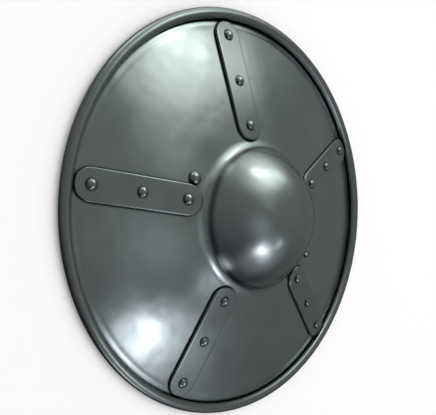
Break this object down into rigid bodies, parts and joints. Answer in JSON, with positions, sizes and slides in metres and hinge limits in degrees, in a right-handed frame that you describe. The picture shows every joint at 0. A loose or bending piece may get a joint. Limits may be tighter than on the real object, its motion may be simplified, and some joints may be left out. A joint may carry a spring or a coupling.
{
  "type": "buckler shield",
  "caption": "Small round steel hand shield: low cone with a domed central boss, rolled rim, radial riveted straps and a bar grip behind the boss.",
  "frame": {"origin": "on the shield's axis, in the plane that the rolled rim rests on", "axes": "+Z along the shield's axis, out of the boss; X along the grip"},
  "size_m": [0.3048, 0.3048, 0.0604],
  "materials": {
    "plate_steel": "polished dark grey steel",
    "strap_steel": "polished dark grey steel strip",
    "rivet_steel": "polished domed steel rivets",
    "forged_steel": "forged steel, plain satin"
  },
  "bodies": {
    "root": {"shield_plate": "plate_steel", "strap_1": "strap_steel", "strap_2": "strap_steel", "strap_3": "strap_steel", "strap_4": "strap_steel", "strap_5": "strap_steel", "strap_rivet_1_inner": "rivet_steel", "strap_rivet_1_middle": "rivet_steel", "strap_rivet_1_outer": "rivet_steel", "strap_rivet_2_inner": "rivet_steel", "strap_rivet_2_middle": "rivet_steel", "strap_rivet_2_outer": "rivet_steel", "strap_rivet_3_inner": "rivet_steel", "strap_rivet_3_middle": "rivet_steel", "strap_rivet_3_outer": "rivet_steel", "strap_rivet_4_inner": "rivet_steel", "strap_rivet_4_middle": "rivet_steel", "strap_rivet_4_outer": "rivet_steel", "strap_rivet_5_inner": "rivet_steel", "strap_rivet_5_middle": "rivet_steel", "strap_rivet_5_outer": "rivet_steel", "grip_rivet_left": "rivet_steel", "grip_rivet_right": "rivet_steel", "grip": "forged_steel"}
  },
  "joints": []
}
